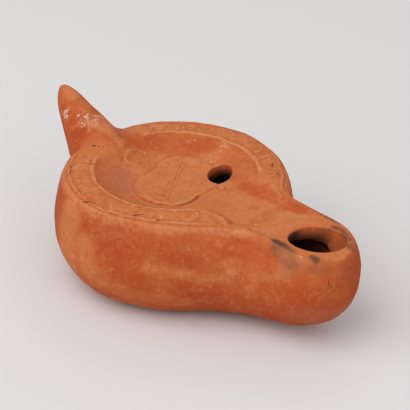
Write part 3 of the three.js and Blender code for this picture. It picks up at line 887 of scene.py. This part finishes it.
def lamp():
    """The whole lamp: outside and handle joined and softened, then hollowed and pierced."""
    clay = outer_skin()
    spike = handle()
    before = np.concatenate([coordinates(clay.data), coordinates(spike.data)])
    combine(clay, spike, "UNION")
    soften(clay, new_points(clay, before))
    press_tail(clay)
    unevenness(clay)
    combine(clay, oil_chamber(), "DIFFERENCE")
    combine(clay, hole_cutter("wick_hole", WICK_HOLE_CENTRE, WICK_HOLE_HALF_LENGTH, WICK_HOLE_HALF_WIDTH,
                              WICK_HOLE_TURN, 0.5, WICK_HOLE_LEAN), "DIFFERENCE")
    combine(clay, hole_cutter("fill_hole", FILL_HOLE_CENTRE, FILL_HOLE_HALF_LENGTH, FILL_HOLE_HALF_WIDTH,
                              FILL_HOLE_TURN, 0.35), "DIFFERENCE")
    clay.name = "lamp_clay"
    for face in clay.data.polygons:
        face.use_smooth = True
    marks(clay)
    return clay


class Wire:
    """A number socket of a shader tree that takes part in Python arithmetic."""

    def __init__(self, tree, socket):
        self.tree = tree
        self.socket = socket

    def math(self, operation, *others):
        node = self.tree.nodes.new("ShaderNodeMath")
        node.operation = operation
        for target, value in zip(node.inputs, (self, *others)):
            feed(self.tree, target, value)
        return Wire(self.tree, node.outputs[0])

    def __add__(self, other):
        return self.math("ADD", other)

    def __mul__(self, other):
        return self.math("MULTIPLY", other)

    def __sub__(self, other):
        return self.math("SUBTRACT", other)

    def __rsub__(self, other):
        return self * -1 + other

    __radd__ = __add__

    def step(self, start, end):
        """Smooth step from 0 at start to 1 at end."""
        node = self.tree.nodes.new("ShaderNodeMapRange")
        node.interpolation_type = "SMOOTHSTEP"
        feed(self.tree, node.inputs["Value"], self)
        node.inputs["From Min"].default_value = start
        node.inputs["From Max"].default_value = end
        return Wire(self.tree, node.outputs["Result"])


def feed(tree, target, value):
    """Links a wire to a socket, or sets the socket to a plain value."""
    if isinstance(value, Wire):
        tree.links.new(value.socket, target)
    else:
        target.default_value = value


class Recipe:
    """A material's tree with short calls for the few kinds of node it needs."""

    def __init__(self, name):
        self.material = bpy.data.materials.new(name)
        self.material.use_nodes = True
        self.tree = self.material.node_tree
        self.shader = self.tree.nodes["Principled BSDF"]

    def node(self, kind, settings=None, output=0, **inputs):
        """A node of any kind with its settings and socket values, as one of its outputs."""
        made = self.tree.nodes.new(kind)
        for key, value in (settings or {}).items():
            setattr(made, key, value)
        for key, value in inputs.items():
            feed(self.tree, made.inputs[key.replace("_", " ")], value)
        return Wire(self.tree, made.outputs[output])

    def place(self, stretch=(1, 1, 1)):
        """Object coordinates in millimetres, stretched along each axis."""
        spot = self.node("ShaderNodeTexCoord", output="Object")
        return self.node("ShaderNodeMapping", {"vector_type": "POINT"}, Vector=spot,
                         Scale=tuple(1000 / value for value in stretch))

    def noise(self, place, size, detail=3.0, roughness=0.55, distortion=0.0):
        return self.node("ShaderNodeTexNoise", Vector=place, Scale=1 / size, Detail=detail,
                         Roughness=roughness, Distortion=distortion)

    def cells(self, place, size):
        """Distance from scattered points."""
        return self.node("ShaderNodeTexVoronoi", output="Distance", Vector=place, Scale=1 / size)

    def value(self, name):
        """An attribute of the mesh."""
        return self.node("ShaderNodeAttribute", {"attribute_name": name}, output="Fac")

    def blend(self, share, first, second):
        """Colour between two others."""
        mixer = self.tree.nodes.new("ShaderNodeMix")
        mixer.data_type = "RGBA"
        feed(self.tree, mixer.inputs[0], share)
        feed(self.tree, mixer.inputs[6], first)
        feed(self.tree, mixer.inputs[7], second)
        return Wire(self.tree, mixer.outputs[2])


ORANGE = (0.52, 0.12, 0.033, 1)
RED = (0.42, 0.068, 0.018, 1)
TAWNY = (0.6, 0.19, 0.063, 1)
DUST = (0.68, 0.28, 0.13, 1)
# Greyish mauve, used only as painted shade
MAUVE = (0.44, 0.13, 0.075, 1)
CHALK = (0.82, 0.68, 0.55, 1)
DARK_CLAY = (0.14, 0.03, 0.012, 1)
GREY_CLAY = (0.2, 0.066, 0.036, 1)
# Black of soot, also used as painted shade in the chamber and on the wick hole's walls
SOOT_AND_SHADE_BLACK = (0.035, 0.028, 0.024, 1)


def terracotta():
    """Fired clay, orange with redder clouds, paler where worn, with soot, lime and cracks as marked, and
    painted shade in hollows, in the chamber, on the wick hole's walls and in some patches.
    """
    clay = Recipe("terracotta")
    place = clay.place()
    clouds = clay.noise(place, 22, 2, 0.45, 0.5)
    mottle = clay.noise(place, 6, 4, 0.6)
    grain = clay.noise(place, 0.55, 4, 0.7)
    speckle = clay.noise(place, 1.6, 4, 0.65)
    smears = clay.noise(clay.place((6, 6, 1.6)), 1.8, 3, 0.6)
    up = clay.value("up")
    worn = clay.value("worn")

    colour = clay.blend((clouds + mottle * 0.5 + smears * 0.2).step(0.62, 1.05), ORANGE, RED)
    # Redder in the marked patches: partly the clay's own colour, partly painted shade
    reddened_and_shaded = (clay.value("red_and_shade") + mottle * 0.7 + smears * 0.3 - 0.5).step(0.0, 1.0)
    colour = clay.blend(reddened_and_shaded * 0.65, colour, RED)
    colour = clay.blend((mottle + smears * 0.3 - clouds * 0.5).step(0.35, 0.7) * 0.35, colour, TAWNY)
    bleached = (clay.value("pale") * 0.9 + mottle * 0.9 + smears * 0.4 - 0.65).step(0.0, 1.05)
    colour = clay.blend(bleached * 0.8, colour, TAWNY)
    pale = (up * 0.75 + mottle * 0.35 + smears * 0.15 - clay.value("red_and_shade") * 0.45).step(0.62, 1.15)
    colour = clay.blend(pale, colour, TAWNY)
    rubbed = (worn + up * 0.35 + mottle * 0.35 + speckle * 0.35).step(1.28, 1.75)
    colour = clay.blend(rubbed * 0.55, colour, DUST)
    film = (clay.noise(place, 11, 5, 0.75, 0.6) + grain * 0.25).step(0.6, 0.9)
    colour = clay.blend(film * 0.36, colour, DUST)
    # Redder in hollows: partly the less worn surface, partly painted shade
    hollow = (0.5 - worn + mottle * 0.06).step(0.0, 0.4)
    colour = clay.blend(hollow * 0.3, colour, RED)
    # Mauve in the marked patches: painted shade
    colour = clay.blend(clay.value("mauve_shade") * (0.6 + mottle * 0.6), colour, MAUVE)
    colour = clay.blend((grain - 0.5).step(0.06, 0.22) * 0.26, colour, DUST)
    colour = clay.blend((0.5 - speckle).step(0.03, 0.18) * 0.42, colour, RED)
    colour = clay.blend((speckle - 0.5).step(0.06, 0.2) * 0.28, colour, DUST)

    pits = clay.cells(place, 3.1)
    pit = (1 - pits.step(0.03, 0.07)) * clay.noise(place, 5, 2).step(0.5, 0.62)
    # Dark cracks and nicks: partly real cracks, partly painted shade of small undercuts on the shoulder
    crack_and_nick_shade = (clay.value("crack_and_nick_shade") + grain * 0.6 - 0.3).step(0.45, 0.85)
    colour = clay.blend((pit * 0.5).math("MAXIMUM", crack_and_nick_shade * 0.8), colour, DARK_CLAY)

    # Grey and black of soot; on the wick hole's walls it is partly painted shade
    sooted_and_shaded = clay.value("soot_and_wall_shade") + (speckle - 0.5) * 0.7 + (grain - 0.5) * 0.3 + (mottle - 0.5) * 1.1
    sooted_and_shaded = sooted_and_shaded * clay.value("soot_and_wall_shade").step(0.0, 0.25)
    colour = clay.blend(sooted_and_shaded.step(0.1, 0.85) * 0.62, colour, GREY_CLAY)
    colour = clay.blend(sooted_and_shaded.step(0.6, 1.15) * 0.75, colour, SOOT_AND_SHADE_BLACK)
    # Chamber turned black: partly soot, partly painted shade
    colour = clay.blend(clay.value("inside") * 0.8, colour, SOOT_AND_SHADE_BLACK)

    lime = clay.value("lime")
    specks = clay.cells(place, 1.15)
    fleck = (1 - (specks - lime * 0.2).step(-0.03, 0.05)) * lime.step(0.05, 0.5) * speckle.step(0.44, 0.54)
    veil = (clay.noise(place, 1.3, 4, 0.7) + lime * 0.2).step(0.72, 0.92) * lime
    stray = (1 - clay.cells(place, 5.2).step(0.04, 0.07)) * clay.noise(place, 9, 2).step(0.5, 0.62)
    chalky = (fleck * 0.85).math("MAXIMUM", veil * 0.35).math("MAXIMUM", stray * 0.45)
    colour = clay.blend(chalky, colour, CHALK)
    clay.tree.links.new(colour.socket, clay.shader.inputs["Base Color"])

    sheen = 0.78 - up * 0.06 + (mottle - 0.5) * 0.12 + sooted_and_shaded.step(0.3, 0.7) * 0.1
    clay.tree.links.new(sheen.socket, clay.shader.inputs["Roughness"])
    texture = grain * 0.3 + speckle * 0.3 + mottle * 0.3 + smears * 0.15
    relief = texture - pit * 0.6 - crack_and_nick_shade * 1.2 + fleck * 0.4
    bump = clay.node("ShaderNodeBump", Height=relief, Strength=0.5, Distance=0.00022)
    clay.tree.links.new(bump.socket, clay.shader.inputs["Normal"])
    clay.shader.inputs["Specular IOR Level"].default_value = 0.1
    return clay.material


def camera():
    """Camera at the photograph's angle, some way off with a long lens."""
    azimuth, elevation, roll = (math.radians(angle) for angle in (VIEW_AZIMUTH, VIEW_ELEVATION, VIEW_ROLL))
    level = math.cos(elevation)
    back = Vector((math.sin(azimuth) * level, -math.cos(azimuth) * level, math.sin(elevation)))
    right = Vector((math.cos(azimuth), math.sin(azimuth), 0))
    up = back.cross(right)
    right, up = (right * math.cos(roll) + up * math.sin(roll), up * math.cos(roll) - right * math.sin(roll))
    target = Vector(VIEW_TARGET) * MM + up * VIEW_RISE * MM + right * VIEW_ASIDE * MM
    place = target + back * VIEW_DISTANCE * MM
    data = bpy.data.cameras.new("camera")
    data.sensor_width = SENSOR_WIDTH
    data.lens = LENS
    data.clip_end = 20
    eye = bpy.data.objects.new("camera", data)
    eye.matrix_world = Matrix((
        (right.x, up.x, back.x, place.x),
        (right.y, up.y, back.y, place.y),
        (right.z, up.z, back.z, place.z),
        (0, 0, 0, 1)))
    bpy.context.scene.collection.objects.link(eye)
    bpy.context.scene.camera = eye


def floor():
    """Pale floor that runs far past the view."""
    half = FLOOR_HALF_WIDTH
    corners = [(-half, -half, 0), (half, -half, 0), (half, half, 0), (-half, half, 0)]
    mesh = bpy.data.meshes.new("floor")
    mesh.from_pydata(corners, [], [(0, 1, 2, 3)])
    material = bpy.data.materials.new("floor")
    material.use_nodes = True
    shader = material.node_tree.nodes["Principled BSDF"]
    shader.inputs["Base Color"].default_value = FLOOR_COLOUR
    shader.inputs["Roughness"].default_value = 0.9
    mesh.materials.append(material)
    put("floor", mesh)


def area_light(name, place, size, power):
    """Round white light that faces the lamp."""
    data = bpy.data.lights.new(name, "AREA")
    data.shape = "DISK"
    data.size = size
    data.energy = power
    light = bpy.data.objects.new(name, data)
    direction = Vector(LIGHT_AIM) - Vector(place)
    light.location = place
    light.rotation_euler = direction.to_track_quat("-Z", "Y").to_euler()
    bpy.context.scene.collection.objects.link(light)


def lighting():
    """A pale room with a large soft light from the front left and weaker ones from the right and behind."""
    world = bpy.data.worlds.new("room")
    world.use_nodes = True
    background = world.node_tree.nodes["Background"]
    background.inputs["Color"].default_value = (1, 1, 1, 1)
    background.inputs["Strength"].default_value = ROOM_BRIGHTNESS
    bpy.context.scene.world = world
    for name, (place, size, power) in LIGHTS.items():
        area_light(name, place, size, power)
    bpy.context.scene.view_settings.view_transform = "Standard"


clay = lamp()
clay.data.materials.clear()
clay.data.materials.append(terracotta())
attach(clay, "root")
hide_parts("lamp")
floor()
lighting()
camera()
